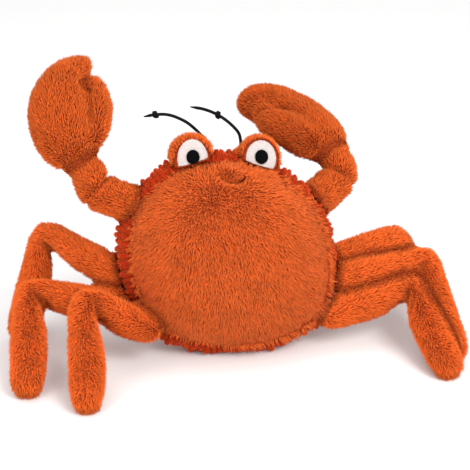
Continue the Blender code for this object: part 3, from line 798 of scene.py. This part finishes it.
# %% Dress the claws
claw_routes = {
    "claw_left": [(-0.129, 0.037, 0.169), (-0.140, 0.048, 0.206), (-0.140, 0.055, 0.227),
                  (-0.128, 0.064, 0.256)],
    "claw_right": [(0.114, 0.063, 0.161), (0.086, 0.084, 0.182), (0.060, 0.095, 0.194),
                   (0.024, 0.088, 0.209)],
}
claw_valleys = {
    "claw_left": [(-0.1150, 0.0630, 0.2500), (-0.1201, 0.0547, 0.2477), (-0.1250, 0.0480, 0.2445),
                  (-0.1207, 0.0480, 0.2385), (-0.1193, 0.0406, 0.2258), (-0.1198, 0.0342, 0.2092)],
    "claw_right": [(0.0345, 0.0770, 0.2010), (0.0395, 0.0755, 0.2065), (0.0482, 0.0748, 0.2087),
                   (0.0600, 0.0800, 0.2055), (0.0720, 0.0785, 0.2030), (0.0827, 0.0741, 0.1997)],
}
thumb_rims = {
    "claw_left": [(-0.110, 0.056, 0.235), (-0.108, 0.052, 0.220), (-0.111, 0.046, 0.205)],
    "claw_right": [(0.0408, 0.0691, 0.1892), (0.0573, 0.0588, 0.1790), (0.0800, 0.0565, 0.1649)],
}
# Painted shade: the claws' pile is darkened as a whole by the factor given last, as they catch
# more light than the legs.
for number, (node, route) in enumerate(claw_routes.items()):
    wrist, palm = route[:2]
    dress(node, voxel=0.0024, seed=41 + number, comb=comb_along(route),
          pushes=[groove(claw_valleys[node][:4], depth=0.0030, width=0.0034),
                  groove(claw_valleys[node], depth=0.0026, width=0.0032),
                  groove(thumb_rims[node], depth=-0.0035, width=0.0100),
                  pinch_at(wrist, np.array(palm) - np.array(wrist), depth=0.0020, width=0.0060)],
          height=0.0022, brightness=0.64)

# %% [markdown]
# ## The gathered band
# The skill in this toy is in its band: a strip of redder plush, longer than the edge that it is
# sewn to, so that it puckers into a hundred and twelve small pleats. Each pleat is rounded
# with a sharp valley, no two are as wide, and none runs quite straight across. The strip is
# made from the outline of the body, column by column, with its pleats as a swell of each column.

# %% Outline of the body
band_lean = (Matrix.Translation((0, -0.0102, -0.0009))
             @ Matrix.Rotation(math.radians(-18), 4, "X"))
outline_half_width, outline_rise, outline_drop, outline_skew = 0.100, 0.096, 0.0885, 0.079


def outline_points(shares):
    """Places across and up from the widest line, with outward directions, at even shares."""
    angle = np.linspace(0, 2 * np.pi, 4001)
    upper = np.sin(angle) >= 0
    power = 2 / np.where(upper, 2.05, 2.5)
    across = outline_half_width * np.sign(np.cos(angle)) * np.abs(np.cos(angle)) ** power
    up = (np.where(upper, outline_rise, outline_drop) * np.sign(np.sin(angle))
          * np.abs(np.sin(angle)) ** power)
    line = np.stack([across - outline_skew * up, up], 1)
    steps = np.linalg.norm(np.diff(line, axis=0), axis=1)
    length = np.concatenate([[0], np.cumsum(steps)])
    wanted = (np.asarray(shares) % 1.0) * length[-1]
    spot = np.stack([np.interp(wanted, length, line[:, k]) for k in (0, 1)], 1)
    ahead = np.stack([np.interp((wanted + 0.0005) % length[-1], length, line[:, k])
                      for k in (0, 1)], 1)
    along = ahead - spot
    along /= np.linalg.norm(along, axis=1)[:, None]
    return spot, np.stack([along[:, 1], -along[:, 0]], 1), length[-1]

# %% Lay the strip in pleats
pleat_count = 112
columns_per_pleat = 7
rows = 17
band_half_width = 0.0208
valley_depth = 0.0036
pleat_swell = 0.0056
right_side_flattening = 0.0008
front_reach, back_reach = 0.0685, 0.058
dice = np.random.default_rng(5)
pleat_widths = 1 + 0.55 * (dice.random(pleat_count) - 0.5)
pleat_edges = np.concatenate([[0], np.cumsum(pleat_widths)]) / pleat_widths.sum()
pleat_tallness = 0.7 + 0.6 * dice.random(pleat_count)
pleat_phase = 2 * np.pi * dice.random(pleat_count)

pleat_of = np.repeat(np.arange(pleat_count), columns_per_pleat)
part_of = np.tile(np.arange(columns_per_pleat) / columns_per_pleat, pleat_count)
strip_points = []
for row in range(rows):
    depth = band_half_width * (2 * row / (rows - 1) - 1)
    across_band = depth / band_half_width
    sway = 0.22 / pleat_count * np.sin(2.4 * across_band + pleat_phase[pleat_of])
    shares = (pleat_edges[pleat_of] + part_of * pleat_widths[pleat_of] / pleat_widths.sum()
              + sway * np.sin(np.pi * part_of))
    spot, outward, edge_length = outline_points(shares)
    knobs = 1 + 0.28 * np.sin(4.2 * across_band + 2 * pleat_phase[pleat_of])
    ridge = np.sin(np.pi * part_of) ** 0.6 * pleat_tallness[pleat_of] * knobs
    swell = -valley_depth + pleat_swell * ridge * (1 - 0.35 * across_band ** 2)
    swell -= 0.0022 * max(0.0, abs(across_band) - 0.85) / 0.15
    swell -= right_side_flattening * eased(spot[:, 0], 0.03, 0.07)
    reach = front_reach if depth >= 0 else back_reach
    flat = math.sqrt(1 - (depth / reach) ** 2) * spot + swell[:, None] * outward
    strip_points.append([band_lean @ Vector((x, -depth, outline_drop + z)) for x, z in flat])
print("band length in mm:", round(1000 * edge_length), "pleats:", pleat_count)

# %% Close the strip
bm = bmesh.new()
loops = [[bm.verts.new(point) for point in row] for row in strip_points]
for lower, upper in zip(loops, loops[1:]):
    for k in range(len(lower)):
        after = (k + 1) % len(lower)
        bm.faces.new((lower[k], lower[after], upper[after], upper[k]))
for loop in (loops[0], loops[-1]):
    middle = bm.verts.new(sum((corner.co for corner in loop), Vector()) / len(loop))
    for k in range(len(loop)):
        bm.faces.new((loop[k], loop[(k + 1) % len(loop)], middle))
bmesh.ops.recalc_face_normals(bm, faces=bm.faces)
band_mesh = bpy.data.meshes.new("gathered_band_cloth")
bm.to_mesh(band_mesh)
bm.free()
band_cloth = link_mesh("gathered_band_cloth", band_mesh)
places, _ = corners_of(band_cloth)
move_corners(band_cloth, places)
print("band corners:", len(places))

# %% Give the band its short pile
near_panels = distances_to_solids(places, ("gathered",) + resting_on_plush)
# Painted shade: the pile is darkened in the valleys of the pleats and along the seams with the
# panels.
pleat_fold = np.concatenate([np.tile(np.sin(np.pi * part_of) ** 0.7, rows), [1, 1]])
band_fold = (0.10 + 0.90 * pleat_fold) * (0.5 + 0.5 * eased(near_panels, 0.0, 0.004))
band_cover = eased(np.minimum(near_panels, places[:, 2]), 0.0008, 0.0022)
band_tall = seam_height + (1 - seam_height) * eased(near_panels, 0.0, 0.006)
comb_cloth(band_cloth, np.zeros_like, band_cover, band_tall, band_fold)
band_cloth.data.shade_smooth()
band_cloth.data.materials.append(red_cloth)
red_sizes = {"Spacing": 0.00080, "Length": 0.0017, "Width": 0.00056, "Stand": 1.0,
             "Locks": 0.8, "Lock Scale": 200.0, "Chance": 0.35}
band_pile = grown("gathered_band_pile", band_cloth, red_sizes, 51, red_pile)
hand_over(band_cloth, ["gathered_band"])
hand_over(band_pile)

# %% [markdown]
# ## Eyes
# The stalks are small cushions of the same plush, combed out from their middles. On them sit two
# layers of felt, a white and a pupil. Felt is a mat of wool fibres: its surface is matt, its
# tone is not quite even, and a fine fuzz softens its edge. The plush closes in on the rims of
# the whites, so these are trimmed a little, and the left eye sits slightly higher.

# %% Dress the stalks
stalks = {"left": {"middle": (-0.031, 0.034, 0.168), "rise": 0.0024},
          "right": {"middle": (0.031, 0.034, 0.168), "rise": -0.0006}}


def comb_outwards(middle):
    """Combs away from a middle, and a little upwards."""
    def comb(places):
        away = places - np.array(middle)
        return away / np.linalg.norm(away, axis=1)[:, None] + np.array((0, 0, 0.2))
    return comb


def swell_of_top(rise):
    """Swells, or with a negative rise lowers, the top of a stalk."""
    return lambda places: rise * eased(places[:, 2], 0.168, 0.184)


# Painted shade: the stalks' pile is darkened as a whole by the factor given last.
for number, (side, stalk) in enumerate(stalks.items()):
    dress("eye_stalk_" + side, voxel=0.0016, seed=61 + number,
          comb=comb_outwards(stalk["middle"]), pushes=[swell_of_top(stalk["rise"])],
          sizes=dict(orange_sizes, Length=0.0052), height=0.0010, no_fold=("gathered", "eye"),
          brightness=0.76)

# %% Cut the felt
white_felt = mottled_cloth("white_felt", (0.46, 0.412, 0.398), (0.59, 0.528, 0.510), 900.0, 0.0003)
black_felt = mottled_cloth("black_felt", (0.0015, 0.0015, 0.0016), (0.005, 0.005, 0.0055), 1200.0,
                           0.0003)
fuzz_sizes = {"Spacing": 0.00055, "Length": 0.0010, "Width": 0.00014, "Stand": 0.5,
              "Locks": 0.6, "Lock Scale": 400.0, "Chance": 0.9}


def felt_piece(node, voxel, finish, seed, trim, lift):
    """A felt oval with rounded edges and a fine fuzz, cut to a share of its solid."""
    felt = remeshed(node + "_felt", node, voxel)
    places, normals = corners_of(felt)
    middle = (places.min(axis=0) + places.max(axis=0)) / 2
    move_corners(felt, middle + (places - middle) * trim + np.array((0, 0, lift)))
    everywhere = np.ones(len(places))
    comb_cloth(felt, np.zeros_like, (normals[:, 1] < 0.3).astype(float), everywhere, everywhere)
    felt.data.shade_smooth()
    felt.data.materials.clear()
    felt.data.materials.append(finish)
    fuzz = grown(node + "_fuzz", felt, fuzz_sizes, seed, finish)
    hand_over(felt, [node])
    hand_over(fuzz)


for number, (side, tall, lift) in enumerate((("left", 1.0, 0.0036), ("right", 0.92, 0.0010))):
    felt_piece("eye_white_" + side, 0.0007, white_felt, 71 + number,
               trim=(0.90, 1.0, tall), lift=lift)
    felt_piece("pupil_" + side, 0.0005, black_felt, 81 + number,
               trim=(1.0, 1.0, 1.0), lift=lift)

# %% [markdown]
# ## Feelers
# Each feeler is a stiff, waxed black cord with a knot tied near its end. A tube follows the route
# of the solid feeler, and the knot is the same cord wound round it in nearly two and a half
# loops. They are stiff and stand up by themselves, so they aren't free cords.

# %% Finish of the cord
waxed_cord, cord_tree, cord_shader = new_material("black_waxed_cord")
cord_grain = noise_on_place(cord_tree, 2600.0, 2.0)
colour_by(cord_tree, cord_shader, cord_grain,
          [(0.3, (0.002, 0.0018, 0.0018)), (0.8, (0.008, 0.007, 0.007))])
bump_by(cord_tree, cord_shader, cord_grain, 0.5, 0.0002)
cord_shader.inputs["Roughness"].default_value = 0.5
cord_shader.inputs["Specular IOR Level"].default_value = 0.05
print("cord finish:", waxed_cord.name)

# %% Sweep a cord along a route
def smooth_line(points, steps):
    """Points along a smooth curve through the given points."""
    route = [Vector(point) for point in points]
    route = [2 * route[0] - route[1]] + route + [2 * route[-1] - route[-2]]
    result = []
    for k in range(1, len(route) - 2):
        before, start, end, after = route[k - 1:k + 3]
        for step in range(steps):
            t = step / steps
            result.append(0.5 * (2 * start + (end - before) * t
                                 + (2 * before - 5 * start + 4 * end - after) * t ** 2
                                 + (3 * start - before - 3 * end + after) * t ** 3))
    result.append(route[-2])
    return result


def swept(bm, points, radii, sides=10):
    """Add a closed tube along a line of points to a mesh."""
    upright = Vector((0.0, 1.0, 0.2)).normalized()
    loops = []
    for k, (point, radius) in enumerate(zip(points, radii)):
        along = (points[min(k + 1, len(points) - 1)] - points[max(k - 1, 0)]).normalized()
        first = (upright - along * upright.dot(along)).normalized()
        upright = first
        second = along.cross(first)
        loops.append([bm.verts.new(point + radius * (math.cos(a) * first + math.sin(a) * second))
                      for a in (2 * math.pi * turn / sides for turn in range(sides))])
    for lower, upper in zip(loops, loops[1:]):
        for k in range(sides):
            after = (k + 1) % sides
            bm.faces.new((lower[k], lower[after], upper[after], upper[k]))
    bm.faces.new(loops[0])
    bm.faces.new(loops[-1])

# %% Make the feelers
feeler_routes = {
    "feeler_left": [(-0.012, 0.047, 0.1687), (-0.0135, 0.0547, 0.1793), (-0.018, 0.0602, 0.1868),
                    (-0.029, 0.0637, 0.1974), (-0.039, 0.0646, 0.2034), (-0.049, 0.0657, 0.2068),
                    (-0.060, 0.0658, 0.2073), (-0.071, 0.0654, 0.2058)],
    "feeler_right": [(0.015, 0.0496, 0.1668), (0.017, 0.0525, 0.1758), (0.0175, 0.0545, 0.1821),
                     (0.016, 0.0568, 0.1890), (0.011, 0.0588, 0.1952), (0.004, 0.0608, 0.2013),
                     (-0.005, 0.0626, 0.2070), (-0.016, 0.0640, 0.2113), (-0.028, 0.0648, 0.2137)],
}
knot_shares = {"feeler_left": 0.86, "feeler_right": 0.72}
feeler_radius = 0.0015
knot_radius = 0.0013
winding_radius = 0.0023
winding_turns = 2.4
winding_steps = 48
for node, route in feeler_routes.items():
    line = smooth_line(route, 8)
    last = len(line) - 1
    bm = bmesh.new()
    radii = [feeler_radius * min(1.0, 0.35 + 0.65 * (last - k) / 4) for k in range(last + 1)]
    swept(bm, line, radii)
    spot = knot_shares[node] * last
    knot_middle = line[int(spot)].lerp(line[int(spot) + 1], spot - int(spot))
    axis = (line[int(spot) + 1] - line[int(spot)]).normalized()
    side_one = axis.cross(Vector((0, -1, 0))).normalized()
    side_two = axis.cross(side_one)
    winding = []
    for k in range(winding_steps + 1):
        share = k / winding_steps
        turn = 2 * math.pi * winding_turns * share
        drift = 0.0016 * math.sin(1.25 * turn) + 0.0014 * (share - 0.5)
        around = math.cos(turn) * side_one + math.sin(turn) * side_two
        winding.append(knot_middle + drift * axis + winding_radius * around)
    swept(bm, winding, [knot_radius] * len(winding), sides=8)
    bmesh.ops.recalc_face_normals(bm, faces=bm.faces)
    mesh = bpy.data.meshes.new(node + "_waxed")
    bm.to_mesh(mesh)
    bm.free()
    mesh.shade_smooth()
    mesh.materials.append(waxed_cord)
    hand_over(link_mesh(node + "_waxed", mesh), [node])
print("feelers:", list(feeler_routes))

# %% [markdown]
# ## Smile thread
# The thread that draws the smile is the solid's own shape, thin and half hidden in the pile. It
# only needs its finish: the orange of shaded plush where the pile closes over it, a painted shade,
# and dark at its open end.

# %% Finish the smile thread
thread, thread_tree, thread_shader = new_material("dark_thread")
thread_grain = noise_on_place(thread_tree, 3000.0, 2.0)
thread_place = add_node(thread_tree, "ShaderNodeTexCoord")
thread_across = add_node(thread_tree, "ShaderNodeSeparateXYZ")
thread_tree.links.new(thread_place.outputs["Object"], thread_across.inputs[0])
thread_share = add_node(thread_tree, "ShaderNodeMapRange",
                        values={"From Min": 0.005, "From Max": 0.011})
thread_tree.links.new(thread_across.outputs["X"], thread_share.inputs["Value"])
# Painted shade: the thread is the orange of shaded plush at its left and its own dark colour at
# its right end.
colour_by(thread_tree, thread_shader, thread_share.outputs["Result"],
          [(0.0, (0.30, 0.045, 0.008)), (0.8, (0.035, 0.006, 0.002))])
bump_by(thread_tree, thread_shader, thread_grain, 0.5, 0.0002)
thread_shader.inputs["Roughness"].default_value = 1.0
thread_shader.inputs["Specular IOR Level"].default_value = 0.0
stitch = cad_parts["smile_stitch"]
for slot in stitch.material_slots:
    slot.material = thread
print("thread finish on:", stitch.name)

# %% [markdown]
# ## Triangles
# The dressed toy may stand a little proud of its solids, as pile does. The triangles of all the
# piles are counted and printed.

# %% Count the triangles of all the piles
print("triangles in all piles:", sum(pile_triangles))
